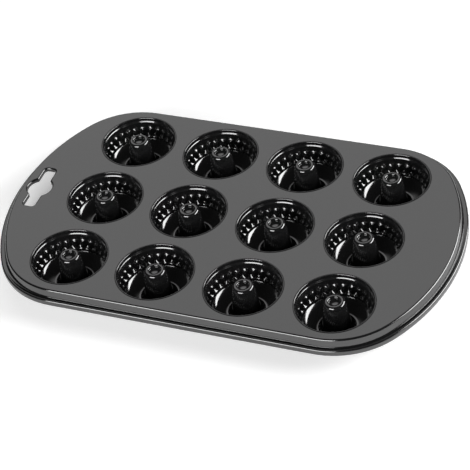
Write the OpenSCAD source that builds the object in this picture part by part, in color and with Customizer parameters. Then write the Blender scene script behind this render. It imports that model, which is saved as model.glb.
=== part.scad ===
// Twelve-cup tin for small ring cakes, pressed from one coated steel sheet.
// The top of the flat plate is the height that the sections are drawn from, and z = 0 is under the cups.
// X runs along the long side, with the hanging slot at its negative end.

/* [Sheet] */
// Thickness of the steel sheet
sheet = 0.6; // [0.4:0.05:0.8]

/* [Layout] */
// Cups along the long side
columns = 4; // [2:1:5]
// Cups along the short side
rows = 3; // [2:1:4]
// Diameter of each cup's mouth
mouth_d = 62; // [56:1:70]
// Flat plate between neighbouring cups' beads, along the long side
gap_long = 4.6; // [1:0.1:15]
// Flat plate between neighbouring cups' beads, along the short side
gap_short = 2.1; // [1:0.1:12]
// Flat plate between the outer beads and the rounded edge, along the long sides
side_land = 0.5; // [0.4:0.1:8]
// Flat plate between the outer beads and the rounded edge, at the two ends
end_land = 34.8; // [32:0.1:45]
// Radius of the four corners
corner_r = 58; // [46:1:60]
// How much nearer the plain end the cups sit
field_shift = 1.5; // [0:0.1:2]

/* [Cup] */
// Depth of a cup below the plate
cup_depth = 25; // [23:0.5:29]
// Height of the raised bead round each mouth
bead_h = 0.6; // [0.3:0.1:0.9]
// Radius of the lip that rolls into the cup
lip_r = 2.2; // [1.8:0.1:2.6]
// Number of flutes round a cup
flutes = 28; // [20:1:32]
// Depth of a flute where it is deepest
flute_depth = 1.6; // [1:0.1:1.8]
// Depth below the plate where the flutes end
flute_end = 17.5; // [16:0.5:18.5]
// Width of the flat ring that a cup stands on
foot_w = 1.2; // [1:0.1:2.5]

/* [Centre tube] */
// Radius of the tube at its rounded top
tube_r = 8.4; // [7.5:0.1:9.5]
// Height of the tube's top above the plate
tube_rise = 2; // [0:0.1:4]
// Radius of the tube at its foot
tube_foot_r = 11.4; // [10.6:0.1:12.4]
// Radius of the bend at the tube's foot
bottom_r = 3.2; // [2.4:0.1:4]
// Radius of the recess in the tube's top
recess_r = 4.7; // [3.5:0.1:5]
// Depth of the recess
recess_depth = 2.8; // [2:0.1:3.5]

/* [Rim] */
// Step down from the plate to the ledge
step_h = 3.3; // [2.8:0.1:4.5]
// Distance from the step to the outer wall
ledge_w = 4.4; // [3.6:0.1:6]
// Depth of the curled edge's centre below the plate
curl_drop = 9.3; // [8.5:0.1:13]
// Outer radius of the curled edge
curl_r = 2.1; // [1.8:0.1:2.4]

/* [Hanging slot] */
// Length of the slot
slot_len = 46; // [36:1:56]
// Width of its two arms
slot_w = 10.4; // [8:0.2:12]
// Radius of the corners at the ends of the arms
slot_corner_r = 3; // [2:0.1:4]
// Diameter of its round middle
slot_mid_d = 20.8; // [16:0.2:21]
// Distance from the end of the plate to the slot's middle line
slot_inset = 12.6; // [12.6:0.1:15]
// Depth of the turned-down edge round the slot
slot_collar = 3.4; // [2:0.1:5]

/* [Hidden] */
$fn = 96;
mouth_r = mouth_d / 2;
edge_r = 1.5;
lip_x = mouth_r + lip_r;
bead_foot = asin((lip_r - bead_h) / lip_r);
bead_foot_r = lip_x + lip_r * cos(bead_foot);
pitch_x = 2 * bead_foot_r + gap_long;
pitch_y = 2 * bead_foot_r + gap_short;
plate_z = cup_depth + sheet;
half_length = pitch_x * (columns - 1) / 2 + bead_foot_r + end_land + edge_r;
half_width = pitch_y * (rows - 1) / 2 + bead_foot_r + side_land + edge_r;

// The outline has straight sides, four corners and two flat end curves, which all run into one another.
end_angle = atan2(336, 527);
corner_y = half_width - corner_r;
end_r = corner_r + round(1000 * corner_y / sin(end_angle)) / 1000;
end_x = half_length - end_r;
corner_x = end_x + (end_r - corner_r) * cos(end_angle);

// Cup section: lip, steep collar, sloping band, fluted wall, crease, bowl-shaped floor and centre tube.
cup_lap = 0.24;
collar_h = 0.6;
collar_bend_r = 2.5;
band_slope = 40;
band_w = 1.3;
flute_start = 0.2;
flute_flat = 0.4;
crease_gap = 1.6;
flange_r = bead_foot_r + cup_lap;
plate_hole_r = bead_foot_r + cup_lap / 2;
collar_end = lip_r - bead_h + collar_h;
flute_top_r = mouth_r - band_w;
bend_x = mouth_r - collar_bend_r * (1 - cos(band_slope));
bend_z = -collar_end - collar_bend_r * sin(band_slope);
flute_top_z = bend_z - (bend_x - flute_top_r) / tan(band_slope);
flute_r = flute_top_r - flute_start;
ridge_r = flute_r - flute_depth;
crease_depth = flute_end + crease_gap;
wall_draft = (flute_top_r - ridge_r) / (flute_top_z + crease_depth);
inner_bend_x = tube_foot_r + bottom_r;
bottom_z = -cup_depth + bottom_r;

// Floor: an arc from the crease down to the flat ring.
floor_x = inner_bend_x + foot_w;
floor_w = ridge_r - floor_x;
floor_h = cup_depth - crease_depth;
floor_r = (pow(floor_w, 2) + pow(floor_h, 2)) / (2 * floor_h);
floor_start = asin((floor_r - floor_h) / floor_r);

// Tube: its side is the line that touches both the bend at its foot and the rounded shoulder.
shoulder_r = 1.9;
shoulder_x = tube_r - shoulder_r;
shoulder_z = tube_rise - shoulder_r;
span_x = inner_bend_x - shoulder_x;
span_z = bottom_z - shoulder_z;
tube_slope = atan2(span_z, span_x) + acos((shoulder_r + bottom_r) / norm([span_x, span_z]));
recess_lip_r = 0.9;
recess_bend_r = 0.6;
recess_z = tube_rise - recess_depth;

// Rim section, measured outward from the step and down from the plate.
step_bend_r = 1;
shoulder_bend_r = 2.2;
curl_inner_r = curl_r - sheet;
curl_x = ledge_w + curl_inner_r;
curl_end = 120;
rim_land = 12;
core_inset = 6;
reach = half_length + half_width;

// Points on an arc from angle a to angle b
function arc(x, z, r, a, b, n) =
    [for (i = [0 : n]) let (t = a + (b - a) * i / n) [x + r * cos(t), z + r * sin(t)]];

// Unit vector from p to q, and that vector turned to the sheet's underside
function heading(p, q) = (q - p) / norm(q - p);
function underside(v) = [-v[1], v[0]];

// The same line moved through the sheet, with mitred corners
function moved(path, d) =
    let (last = len(path) - 1)
    [for (i = [0 : last])
        let (
            before = underside(heading(path[max(i - 1, 0)], path[max(i, 1)])),
            after = underside(heading(path[min(i, last - 1)], path[min(i + 1, last)]))
        )
        path[i] + d * (before + after) / (1 + before * after)];

function reversed(path) = [for (i = [len(path) - 1 : -1 : 0]) path[i]];

// A bent strip of sheet whose upper face follows the path
module strip(path) {
    polygon(concat(path, reversed(moved(path, sheet))));
}

function cup_path() = concat(
    [[flange_r, 0]],
    arc(lip_x, bead_h - lip_r, lip_r, bead_foot, 180, 6),
    arc(mouth_r - collar_bend_r, -collar_end, collar_bend_r, 0, -band_slope, 2),
    [[flute_top_r, flute_top_z]],
    arc(floor_x, floor_r - cup_depth, floor_r, -floor_start, -90, 5),
    arc(inner_bend_x, bottom_z, bottom_r, -90, tube_slope - 180, 4),
    arc(shoulder_x, shoulder_z, shoulder_r, tube_slope, 90, 3),
    arc(recess_r + recess_lip_r, tube_rise - recess_lip_r, recess_lip_r, 90, 180, 2),
    arc(recess_r - recess_bend_r, recess_z + recess_bend_r, recess_bend_r, 0, -90, 2),
    [[0, recess_z]]
);

// A ring of flat-sided columns, as deep as the flutes reach and d wider than the fluted wall's inside
module flute_ring(d, bottom) {
    translate([0, 0, bottom])
        linear_extrude(flute_top_z - flute_start - bottom)
            difference() {
                polygon([for (i = [0 : flutes - 1], side = [-1, -flute_flat, flute_flat])
                    let (
                        a = (i + side / 2) * 360 / flutes,
                        r = (side == -1 ? ridge_r : flute_r) + d
                    )
                    [r * cos(a), r * sin(a)]]);
                circle(ridge_r - band_w);
            }
}

// The middle of the fluted wall's thickness, as a cone
module wall_middle() {
    below = crease_gap / 2;
    height = flute_top_z + flute_end + below + 1;
    foot_r = ridge_r + sheet / 2 + wall_draft * (crease_gap - below);
    translate([0, 0, -flute_end - below])
        cylinder(h = height, r1 = foot_r, r2 = foot_r + wall_draft * height);
}

module cup() {
    difference() {
        union() {
            rotate_extrude()
                strip(cup_path());
            difference() {
                flute_ring(sheet, -flute_end - sheet);
                wall_middle();
            }
        }
        flute_ring(0, -flute_end);
    }
}

function rim_path() = concat(
    arc(curl_x, -curl_drop, curl_inner_r, curl_end, -180, 8),
    arc(ledge_w - shoulder_bend_r, -step_h - shoulder_bend_r, shoulder_bend_r, 0, 90, 3),
    arc(step_bend_r, -step_h + step_bend_r, step_bend_r, -90, -180, 2),
    arc(-edge_r, -edge_r, edge_r, 0, 90, 3),
    [[-rim_land, 0]]
);

// Points to the nearest thousandth, so that sections drawn at different radii meet exactly
function neat(path) = [for (p = path) [round(p[0] * 1000), round(p[1] * 1000)] / 1000];

// The rim and a strip of the plate beside it, seen from an axis at distance r
module rim_section(r) {
    translate([r, 0])
        polygon(neat(concat(rim_path(), reversed(moved(rim_path(), sheet)))));
}

// End curve, corner and side, each drawn in the frame of the one before it, so that they meet exactly
module rim_run() {
    translate([end_x, 0])
        rotate(end_angle) {
            rotate_extrude(angle = -end_angle - 5)
                rim_section(end_r);
            translate([end_r - corner_r, 0]) {
                difference() {
                    rotate_extrude(angle = 95 - end_angle)
                        rim_section(corner_r);
                    rotate(90 - end_angle)
                        translate([0, 0, -reach / 2])
                            cube(reach);
                }
                rotate([90, 0, 90 - end_angle])
                    translate([0, 0, -reach])
                        linear_extrude(reach)
                            rim_section(corner_r);
            }
        }
}

function quarter_outline(inset) = concat(
    arc(end_x, 0, end_r - inset, 0, end_angle, 2),
    arc(corner_x, corner_y, corner_r - inset, end_angle, 90, 3)
);

// A quarter of the plate, with its rim
module plate_quarter() {
    intersection() {
        rim_run();
        translate([0, 0, -reach / 2])
            cube(reach);
    }
    translate([0, 0, -sheet])
        linear_extrude(sheet)
            polygon(concat([[0, 0]], quarter_outline(core_inset), [[0, half_width - core_inset]]));
}

module plate() {
    for (end = [0, 1], side = [0, 1])
        mirror([end, 0, 0])
            mirror([0, side, 0])
                plate_quarter();
}

module at_cups() {
    for (i = [0 : columns - 1], j = [0 : rows - 1])
        translate([
            (i - (columns - 1) / 2) * pitch_x + field_shift,
            (j - (rows - 1) / 2) * pitch_y
        ])
            children();
}

// Outline of the hanging slot, widened by d on every side
module slot_outline(d) {
    corner_x = slot_w / 2 - slot_corner_r;
    corner_y = slot_len / 2 - slot_corner_r;
    circle(slot_mid_d / 2 + d);
    square([slot_w + 2 * d, 2 * corner_y], center = true);
    square([2 * corner_x, slot_len + 2 * d], center = true);
    for (x = [-corner_x, corner_x], y = [-corner_y, corner_y])
        translate([x, y])
            circle(slot_corner_r + d);
}

module at_slot() {
    translate([-half_length + slot_inset, 0])
        children();
}

module baking_tin() {
    color("dimgray")
        translate([0, 0, plate_z]) {
            difference() {
                plate();
                at_cups()
                    translate([0, 0, -sheet - 1])
                        cylinder(h = sheet + 2, r = plate_hole_r);
                at_slot()
                    translate([0, 0, -sheet - 1])
                        linear_extrude(sheet + 2)
                            slot_outline(sheet / 2);
            }
            at_cups()
                cup();
            at_slot()
                translate([0, 0, -slot_collar])
                    linear_extrude(slot_collar)
                        difference() {
                            slot_outline(sheet);
                            slot_outline(0);
                        }
        }
}

baking_tin();
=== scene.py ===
from math import acos, asin, atan2, cos, degrees, dist, hypot, pi, radians, sin, tan

import bmesh
import bpy
from mathutils import Matrix, Vector


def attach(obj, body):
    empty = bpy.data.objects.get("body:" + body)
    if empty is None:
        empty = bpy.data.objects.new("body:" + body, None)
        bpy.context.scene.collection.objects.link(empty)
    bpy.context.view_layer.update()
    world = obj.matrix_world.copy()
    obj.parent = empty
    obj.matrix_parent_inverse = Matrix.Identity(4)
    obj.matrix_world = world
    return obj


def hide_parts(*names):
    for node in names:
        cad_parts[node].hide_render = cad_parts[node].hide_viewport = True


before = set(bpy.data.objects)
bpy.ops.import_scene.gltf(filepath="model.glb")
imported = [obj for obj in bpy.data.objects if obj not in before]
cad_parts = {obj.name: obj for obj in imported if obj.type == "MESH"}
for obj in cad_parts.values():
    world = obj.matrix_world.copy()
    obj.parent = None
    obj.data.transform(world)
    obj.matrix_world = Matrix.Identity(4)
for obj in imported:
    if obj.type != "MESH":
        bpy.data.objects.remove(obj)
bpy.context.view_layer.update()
mm = 0.001
mergeDistance = 0.002 * mm     # vertices closer than this become one
level = 1e-6                   # heights within this, in metres, count as equal
near = 0.01                    # heights within this, in millimetres, belong to one row
scene = bpy.context.scene


def arc(x, z, radius, start, end, steps):
    # points on a circle, from one angle to another, in degrees
    angles = [radians(start + (end - start) * i / steps) for i in range(steps + 1)]
    return [(x + radius * cos(a), z + radius * sin(a)) for a in angles]


def only(geom, kind):
    return [g for g in geom if isinstance(g, kind)]


def everything(bm):
    return bm.verts[:] + bm.edges[:] + bm.faces[:]


def drawLine(bm, points):
    # a row of joined edges in the XZ plane
    verts = [bm.verts.new((x * mm, 0, z * mm)) for x, z in points]
    return verts + [bm.edges.new(pair) for pair in zip(verts, verts[1:])]


def spinLine(bm, geom, steps, centre=(0, 0), angle=360):
    result = bmesh.ops.spin(
        bm, geom=geom, cent=(centre[0] * mm, centre[1] * mm, 0), axis=(0, 0, 1),
        angle=radians(angle), steps=steps, use_merge=angle == 360, use_duplicate=False)
    return result["geom_last"]


def mergeDoubles(bm):
    bmesh.ops.remove_doubles(bm, verts=bm.verts, dist=mergeDistance)


# lengths are in millimetres and angles in degrees, here and below
sheet = {
    "thickness": 0.6,
    "plateHeight": 25.6,       # top of the plate above the surface the cups stand on
}

outline = {
    "halfLength": 182.04,
    "halfWidth": 108.23,
    "cornerRadius": 58,
    "endAngle": degrees(atan2(336, 527)),
    "endSteps": 12,
    "cornerSteps": 14,
}

rim = {
    "land": 1.0,               # flat ring that ties the rim to the plate
    "edgeX": 1.0,              # middle of the rounded edge of the plate
    "edgeRadius": 1.6,
    "edgeSteps": 5,
    "draft": 16,               # the wall below the edge leans out
    "flangeDepth": 6.5,
    "flangeBend": 0.2,
    "bendSteps": 2,
    "support": 0.25,           # extra edge on each side of a tight bend
    "beadX": 6.5,              # rolled edge: rounded top, straight face, curled under
    "beadDepth": 7.75,
    "beadRadius": 1.5,
    "beadSteps": 7,
    "hemDepth": 10.5,
    "hemRadius": 1.1,
    "hemSteps": 6,
    "curlEnd": 150,
}


def rimSection():
    r = rim
    draft = radians(r["draft"])
    top = arc(r["edgeX"], -r["edgeRadius"], r["edgeRadius"], 90, r["draft"], r["edgeSteps"])
    # the wall runs straight from the rounded edge to the bend above the flange
    bendZ = r["flangeBend"] * (1 - sin(draft)) - r["flangeDepth"]
    bendX = top[-1][0] + (top[-1][1] - bendZ) * tan(draft)
    wallFoot = (bendX - r["support"] * sin(draft), bendZ + r["support"] * cos(draft))
    bend = arc(
        bendX + r["flangeBend"] * cos(draft), r["flangeBend"] - r["flangeDepth"],
        r["flangeBend"], 180 + r["draft"], 270, r["bendSteps"])
    flange = (bend[-1][0] + r["support"], -r["flangeDepth"])
    # the bead starts where its circle meets the flange
    rise = degrees(asin((r["flangeDepth"] - r["beadDepth"]) / r["beadRadius"]))
    bead = arc(r["beadX"], -r["beadDepth"], r["beadRadius"], 180 + rise, 0, r["beadSteps"])
    hem = arc(
        r["beadX"] + r["beadRadius"] - r["hemRadius"], -r["hemDepth"],
        r["hemRadius"], 0, -r["curlEnd"], r["hemSteps"])
    return [(r["edgeX"] - r["land"], 0)] + top + [wallFoot] + bend + [flange] + bead + hem


def makeRim(bm):
    # one quarter: half the end, a corner and half a side, then mirrored both ways
    o = outline
    endAngle = radians(o["endAngle"])
    cornerY = o["halfWidth"] - o["cornerRadius"]
    endRadius = o["cornerRadius"] + cornerY / sin(endAngle)
    endX = o["halfLength"] - endRadius
    cornerX = endX + (endRadius - o["cornerRadius"]) * cos(endAngle)
    line = drawLine(bm, [(o["halfLength"] + x, z) for x, z in rimSection()])
    last = spinLine(bm, line, o["endSteps"], (endX, 0), o["endAngle"])
    last = spinLine(bm, last, o["cornerSteps"], (cornerX, cornerY), 90 - o["endAngle"])
    side = bmesh.ops.extrude_edge_only(bm, edges=only(last, bmesh.types.BMEdge))
    sideVerts = only(side["geom"], bmesh.types.BMVert)
    bmesh.ops.translate(bm, verts=sideVerts, vec=(-cornerX * mm, 0, 0))
    for axis in ("X", "Y"):
        bmesh.ops.mirror(bm, geom=everything(bm), axis=axis, merge_dist=mergeDistance)
    mergeDoubles(bm)


slot = {
    "length": 46,
    "width": 10.4,
    "cornerRadius": 3,
    "cornerSteps": 5,
    "middleDiameter": 20.8,
    "middleSteps": 8,
    "fillet": 2.4,             # where the arms meet the round middle
    "filletSteps": 4,
    "inset": 12.6,             # from the end of the plate to the middle of the slot
    "land": 0.5,
    "edgeRadius": 1.4,         # the edge of the slot turns down
    "edgeSteps": 5,
    "drop": 3.4,
}


def makeSlot(bm):
    s = slot
    half, radius = s["width"] / 2, s["middleDiameter"] / 2
    corner, fillet = s["cornerRadius"], s["fillet"]
    filletX = half + fillet
    filletY = ((radius + fillet) ** 2 - filletX ** 2) ** 0.5
    meet = degrees(atan2(filletY, filletX))

    def quarter(d):
        return (
            arc(0, 0, radius + d, 0, meet, s["middleSteps"])
            + arc(filletX, filletY, fillet - d, 180 + meet, 180, s["filletSteps"])
            + arc(half - corner, s["length"] / 2 - corner, corner + d, 0, 90, s["cornerSteps"]))

    def loop(d, z):
        q = quarter(d)
        points = q + [(-x, y) for x, y in q[::-1]]
        points += [(-x, -y) for x, y in points]
        points = [p for p, before in zip(points, points[-1:] + points[:-1]) if dist(p, before) > 0.001]
        verts = [
            bm.verts.new(((x - outline["halfLength"] + s["inset"]) * mm, y * mm, z * mm))
            for x, y in points]
        return [bm.edges.new((verts[i - 1], verts[i])) for i in range(len(verts))]

    e = s["edgeRadius"]
    section = [(e + s["land"], 0)] + arc(e, -e, e, 90, 180, s["edgeSteps"]) + [(0, -s["drop"])]
    loops = [loop(d, z) for d, z in section]
    for upper, lower in zip(loops, loops[1:]):
        bmesh.ops.bridge_loops(bm, edges=upper + lower)


layout = {
    "columns": 4,
    "rows": 3,
    "pitchLong": 74.02,
    "pitchShort": 71.52,
    "shift": 1.5,              # the cups sit a little nearer the plain end
}

cup = {
    "mouthRadius": 30.4,
    "lipRadius": 0.7,
    "lipSteps": 5,
    "beadHeight": 0.3,
    "footFillet": 0.9,
    "filletSteps": 2,
    "land": 0.5,
    "collar": 1.6,
    "collarBend": 1.6,
    "collarSteps": 3,
    "bandSlope": 60,
    "depth": 25,
    # depth below the plate and radius, from the crease to the flat ring the cup stands on
    "floor": [
        (19.55, 26.8),
        (20.6, 25.7),
        (21.7, 24.3),
        (22.5, 22.7),
        (24.6, 16.6),
        (25, 15.2),
    ],
    "steps": 84,               # a whole number of times the flutes
    "tubeSteps": 42,
}

flute = {
    "count": 28,
    # depth below the plate, radius between the flutes, radius in the middle of a flute,
    # flatness across the flute
    "wall": [
        (4.66, 29.6, 29.6, 0),
        (8.6, 29.5, 29.6, 0),
        (9.25, 28.45, 29.6, 0),
        (10.25, 27.55, 29.6, 0),
        (15.2, 27.4, 29.65, 0),
        (15.4, 27.4, 29.45, 0.1),
        (16.2, 27.3, 28.55, 0.5),
        (17.0, 27.2, 27.65, 0.85),
        (17.5, 27.05, 27.1, 1),
        (19.3, 27.0, 27.0, 1),
    ],
}

tube = {
    "radius": 8.4,
    "rise": 2.0,               # above the plate
    "shoulder": 1.9,
    "shoulderSteps": 3,
    "footRadius": 11.4,
    "footBend": 3.2,
    "footSteps": 2,
    "recessRadius": 4.7,
    "recessDepth": 3.2,
    "recessLip": 0.9,
    "lipSteps": 2,
    # radius and height above the lowest point of the recess
    "dish": [(4.66, 1.3), (4.5, 1.15), (2.2, 0.55), (0, 0)],
}


def cupOutside():
    # from the plate, over the bead and down the wall to the flat ring
    c = cup
    lipX = c["mouthRadius"] + c["lipRadius"]
    lipZ = c["beadHeight"] - c["lipRadius"]
    # a fillet runs from the flat plate up into the bead
    f = c["footFillet"]
    filletX = lipX + ((c["lipRadius"] + f) ** 2 - (f - lipZ) ** 2) ** 0.5
    foot = degrees(atan2(f - lipZ, filletX - lipX))
    collarX, collarZ = c["mouthRadius"] - c["collarBend"], lipZ - c["collar"]
    return (
        [(filletX + c["land"], 0)]
        + arc(filletX, f, f, 270, 180 + foot, c["filletSteps"])
        + arc(lipX, lipZ, c["lipRadius"], foot, 180, c["lipSteps"])[1:]
        + arc(collarX, collarZ, c["collarBend"], 0, -c["bandSlope"], c["collarSteps"])
        + [(ridge, -depth) for depth, ridge, groove, flat in flute["wall"]]
        + [(radius, -depth) for depth, radius in c["floor"]])


def cupInside():
    # from the flat ring up the tube and down into its recess
    t = tube
    footX, footZ = t["footRadius"] + t["footBend"], -cup["depth"] + t["footBend"]
    shoulderX, shoulderZ = t["radius"] - t["shoulder"], t["rise"] - t["shoulder"]
    # the tube's side touches the bend at its foot and the rounded shoulder at its top
    spanX, spanZ = footX - shoulderX, footZ - shoulderZ
    slope = degrees(atan2(spanZ, spanX) + acos((t["shoulder"] + t["footBend"]) / hypot(spanX, spanZ)))
    lipX, lipZ = t["recessRadius"] + t["recessLip"], t["rise"] - t["recessLip"]
    recessZ = t["rise"] - t["recessDepth"]
    return (
        arc(footX, footZ, t["footBend"], -90, slope - 180, t["footSteps"])
        + arc(shoulderX, shoulderZ, t["shoulder"], slope, 90, t["shoulderSteps"])
        + arc(lipX, lipZ, t["recessLip"], 90, 180, t["lipSteps"])
        + [(radius, recessZ + height) for radius, height in t["dish"]])


def shapeFlutes(verts):
    # between the flutes the wall stands in, with a rounded nose at the top;
    # each flute sweeps in to the crease below
    for depth, ridge, groove, flat in flute["wall"]:
        for v in verts:
            if abs(v.co.z / mm + depth) < near:
                angle = atan2(v.co.y, v.co.x)
                across = (angle * flute["count"] / pi + 1) % 2 - 1
                wave = (1 - flat) * (0.5 + 0.5 * cos(pi * across)) + flat * (1 - across ** 4)
                radius = ridge + (groove - ridge) * wave
                v.co.x, v.co.y = radius * mm * cos(angle), radius * mm * sin(angle)


def makeCup(bm):
    spinLine(bm, drawLine(bm, cupOutside()), cup["steps"])
    mergeDoubles(bm)
    # the fluted rows get twice as many points round the cup
    high = (near - flute["wall"][0][0]) * mm
    low = (-near - flute["wall"][-1][0]) * mm
    rings = [
        e for e in bm.edges
        if abs(e.verts[0].co.z - e.verts[1].co.z) < level and low < e.verts[0].co.z < high]
    bmesh.ops.subdivide_edges(bm, edges=rings, cuts=1)
    shapeFlutes(bm.verts)
    spinLine(bm, drawLine(bm, cupInside()), cup["tubeSteps"])
    mergeDoubles(bm)
    bottom = level - cup["depth"] * mm
    footEdges = [e for e in bm.edges if e.is_boundary and e.verts[0].co.z < bottom]
    bmesh.ops.bridge_loops(bm, edges=footEdges)


def makeCups(bm):
    makeCup(bm)
    firstCup, firstVerts = everything(bm), bm.verts[:]
    spots = [
        ((i - (layout["columns"] - 1) / 2) * layout["pitchLong"] + layout["shift"],
         (j - (layout["rows"] - 1) / 2) * layout["pitchShort"])
        for i in range(layout["columns"]) for j in range(layout["rows"])]
    for x, y in spots[1:]:
        copy = bmesh.ops.duplicate(bm, geom=firstCup)
        copyVerts = only(copy["geom"], bmesh.types.BMVert)
        bmesh.ops.translate(bm, verts=copyVerts, vec=(x * mm, y * mm, 0))
    bmesh.ops.translate(bm, verts=firstVerts, vec=(spots[0][0] * mm, spots[0][1] * mm, 0))
    print("cups made:", len(spots))


def makeTin():
    bm = bmesh.new()
    makeCups(bm)
    # the rim has a mesh of its own first, because mirroring takes in all that is there
    rimBm = bmesh.new()
    makeRim(rimBm)
    rimMesh = bpy.data.meshes.new("rimDraft")
    rimBm.to_mesh(rimMesh)
    rimBm.free()
    bm.from_mesh(rimMesh)
    bpy.data.meshes.remove(rimMesh)
    makeSlot(bm)

    # the flat plate fills what lies between the rim, the cups and the slot
    edges = [e for e in bm.edges if e.is_boundary and all(abs(v.co.z) < level for v in e.verts)]
    bmesh.ops.triangle_fill(bm, edges=edges, use_beauty=True, normal=(0, 0, 1))
    mergeDoubles(bm)
    bmesh.ops.recalc_face_normals(bm, faces=bm.faces)
    plateFace = max(bm.faces, key=lambda face: face.calc_area())
    if plateFace.normal.z < 0:
        bmesh.ops.reverse_faces(bm, faces=bm.faces)
    bmesh.ops.translate(bm, verts=bm.verts, vec=(0, 0, sheet["plateHeight"] * mm))
    for face in bm.faces:
        face.smooth = True
    mesh = bpy.data.meshes.new("tin")
    bm.to_mesh(mesh)
    openEdges = sum(e.is_boundary for e in bm.edges)
    manyEdges = sum(len(e.link_faces) > 2 for e in bm.edges)
    print("tin sheet:", len(bm.faces), "faces,", openEdges, "open edges,",
          manyEdges, "edges with more than two faces")
    bm.free()
    tin = bpy.data.objects.new("tin", mesh)
    scene.collection.objects.link(tin)
    wall = tin.modifiers.new("sheetThickness", "SOLIDIFY")
    wall.thickness = sheet["thickness"] * mm
    wall.offset = -1
    wall.use_even_offset = True
    return tin


coat = {
    "colour": (0.006, 0.006, 0.0062),
    "toneSpread": 0.15,        # how far the colour strays from that, as a share
    "roughness": (0.08, 0.13),
    "reflectionIndex": 1.8,
    "cloudPerMetre": 18,
    "cloudDetail": 4,
    "grainPerMetre": 900,
    "grainDetail": 3,
    "grainDepth": 0.00001,     # in metres
}


def noiseNode(tree, place, scale, detail):
    noise = tree.nodes.new("ShaderNodeTexNoise")
    noise.inputs["Scale"].default_value = scale
    noise.inputs["Detail"].default_value = detail
    tree.links.new(place.outputs["Object"], noise.inputs["Vector"])
    return noise.outputs["Fac"]


def coatedSteel():
    material = bpy.data.materials.new("coatedSteel")
    material.use_nodes = True
    tree = material.node_tree
    nodes, links = tree.nodes, tree.links
    shader = nodes["Principled BSDF"]
    shader.inputs["IOR"].default_value = coat["reflectionIndex"]
    place = nodes.new("ShaderNodeTexCoord")
    grain = noiseNode(tree, place, coat["grainPerMetre"], coat["grainDetail"])
    cloud = noiseNode(tree, place, coat["cloudPerMetre"], coat["cloudDetail"])
    gloss = nodes.new("ShaderNodeMapRange")
    gloss.inputs["From Min"].default_value = 0.3
    gloss.inputs["From Max"].default_value = 0.7
    gloss.inputs["To Min"].default_value, gloss.inputs["To Max"].default_value = coat["roughness"]
    links.new(cloud, gloss.inputs["Value"])
    links.new(gloss.outputs["Result"], shader.inputs["Roughness"])
    tone = nodes.new("ShaderNodeValToRGB")
    stops = ((0.35, 1 - coat["toneSpread"]), (0.65, 1 + coat["toneSpread"]))
    for stop, (position, share) in zip(tone.color_ramp.elements, stops):
        stop.position = position
        stop.color = [c * share for c in coat["colour"]] + [1]
    links.new(cloud, tone.inputs["Fac"])
    links.new(tone.outputs["Color"], shader.inputs["Base Color"])
    bump = nodes.new("ShaderNodeBump")
    bump.inputs["Distance"].default_value = coat["grainDepth"]
    links.new(grain, bump.inputs["Height"])
    links.new(bump.outputs["Normal"], shader.inputs["Normal"])
    return material


tin = makeTin()
tin.data.materials.append(coatedSteel())
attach(tin, "root")
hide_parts("baking_tin")
print("tin finished")


studio = {
    "floorRadius": 6,          # in metres
    "floorSides": 96,
    "floorColour": (0.86, 0.86, 0.86, 1),
    "floorRoughness": 0.9,
    "floorGlow": 0.35,
    "backLight": 1.17,         # pale backdrop behind the tin
    "frontLight": 0.03,        # dark side of the studio, behind the camera
    "backdrop": {"azimuth": 117.6, "elevation": 42},
    "backdropSpread": (12, 25),
    "target": (11.7, -18.6, 26.1),
    # distances and sizes of the strips are in metres
    "frontStrip": {"azimuth": 259, "elevation": 22, "distance": 1.6, "size": (1.2, 0.8), "radiance": 10},
    "rightStrip": {"azimuth": 30, "elevation": 25, "distance": 1.6, "size": (1.7, 0.76), "radiance": 11},
}


def mathNode(tree, operation, first, second):
    node = tree.nodes.new("ShaderNodeMath")
    node.operation = operation
    for value, socket in zip((first, second), node.inputs):
        if isinstance(value, bpy.types.NodeSocket):
            tree.links.new(value, socket)
        else:
            socket.default_value = value
    return node.outputs[0]


def makeFloor():
    bm = bmesh.new()
    bmesh.ops.create_circle(
        bm, cap_ends=True, segments=studio["floorSides"], radius=studio["floorRadius"])
    mesh = bpy.data.meshes.new("floor")
    bm.to_mesh(mesh)
    bm.free()
    floor = bpy.data.objects.new("floor", mesh)
    scene.collection.objects.link(floor)
    material = bpy.data.materials.new("paleFloor")
    material.use_nodes = True
    tree = material.node_tree
    shader = tree.nodes["Principled BSDF"]
    shader.inputs["Base Color"].default_value = studio["floorColour"]
    shader.inputs["Roughness"].default_value = studio["floorRoughness"]
    shader.inputs["Specular IOR Level"].default_value = 0
    # the glow is seen and mirrored, and lights nothing else
    path = tree.nodes.new("ShaderNodeLightPath").outputs
    seen = mathNode(tree, "MAXIMUM", path["Is Camera Ray"], path["Is Glossy Ray"])
    seen = mathNode(tree, "MAXIMUM", seen, path["Is Transmission Ray"])
    glow = mathNode(tree, "MULTIPLY", seen, studio["floorGlow"])
    shader.inputs["Emission Color"].default_value = (1, 1, 1, 1)
    tree.links.new(glow, shader.inputs["Emission Strength"])
    mesh.materials.append(material)


def towards(values):
    azimuth, elevation = radians(values["azimuth"]), radians(values["elevation"])
    return Vector((cos(elevation) * cos(azimuth), cos(elevation) * sin(azimuth), sin(elevation)))


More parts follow.
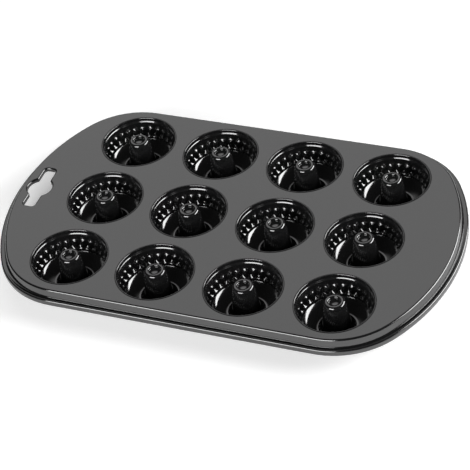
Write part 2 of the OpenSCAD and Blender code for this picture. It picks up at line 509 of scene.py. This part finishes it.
def makeWorld():
    world = bpy.data.worlds.new("studio")
    world.use_nodes = True
    scene.world = world
    tree = world.node_tree
    nodes, links = tree.nodes, tree.links
    background = nodes["Background"]
    background.inputs["Color"].default_value = (1, 1, 1, 1)
    # a round pale patch of backdrop, with the rest of the studio dark
    place = nodes.new("ShaderNodeTexCoord")
    facing = nodes.new("ShaderNodeVectorMath")
    facing.operation = "DOT_PRODUCT"
    facing.inputs[1].default_value = towards(studio["backdrop"])
    links.new(place.outputs["Generated"], facing.inputs[0])
    patch = nodes.new("ShaderNodeMapRange")
    patch.interpolation_type = "SMOOTHSTEP"
    inner, outer = studio["backdropSpread"]
    patch.inputs["From Min"].default_value = cos(radians(outer))
    patch.inputs["From Max"].default_value = cos(radians(inner))
    patch.inputs["To Min"].default_value = studio["frontLight"]
    patch.inputs["To Max"].default_value = studio["backLight"]
    links.new(facing.outputs["Value"], patch.inputs["Value"])
    # the camera sees plain white
    path = nodes.new("ShaderNodeLightPath").outputs
    white = mathNode(tree, "MAXIMUM", path["Is Camera Ray"], path["Is Transmission Ray"])
    shown = nodes.new("ShaderNodeMix")
    factor, patchSide, whiteSide = shown.inputs[0], shown.inputs[2], shown.inputs[3]
    whiteSide.default_value = 1
    links.new(white, factor)
    links.new(patch.outputs["Result"], patchSide)
    links.new(shown.outputs[0], background.inputs["Strength"])


def placeStrip(name):
    values = studio[name]
    width, height = values["size"]
    light = bpy.data.lights.new(name, "AREA")
    light.shape = "RECTANGLE"
    light.size, light.size_y = width, height
    # an area lamp of power P looks as bright as P / (pi * area)
    light.energy = values["radiance"] * pi * width * height
    lamp = bpy.data.objects.new(name, light)
    scene.collection.objects.link(lamp)
    direction = towards(values)
    lamp.location = Vector(studio["target"]) * mm + direction * values["distance"]
    lamp.rotation_euler = direction.to_track_quat("Z", "Y").to_euler()
    lamp.visible_camera = False


view = {
    "turn": 27.57,
    "elevation": 42.21,
    "roll": -9.93,
    "distance": 1548,
    "lens": 150.6,
    "sensor": 36,
}


def makeCamera():
    lens = bpy.data.cameras.new("photoView")
    lens.lens = view["lens"]
    lens.sensor_width = view["sensor"]
    camera = bpy.data.objects.new("photoView", lens)
    scene.collection.objects.link(camera)
    turn = (
        Matrix.Rotation(radians(view["turn"]), 4, "Z")
        @ Matrix.Rotation(radians(90 - view["elevation"]), 4, "X")
        @ Matrix.Rotation(radians(view["roll"]), 4, "Z"))
    back = turn @ Vector((0, 0, view["distance"] * mm))
    camera.matrix_world = Matrix.Translation(Vector(studio["target"]) * mm + back) @ turn
    scene.camera = camera


scene.view_settings.view_transform = "Standard"
makeFloor()
makeWorld()
placeStrip("frontStrip")
placeStrip("rightStrip")
makeCamera()
print("studio ready")
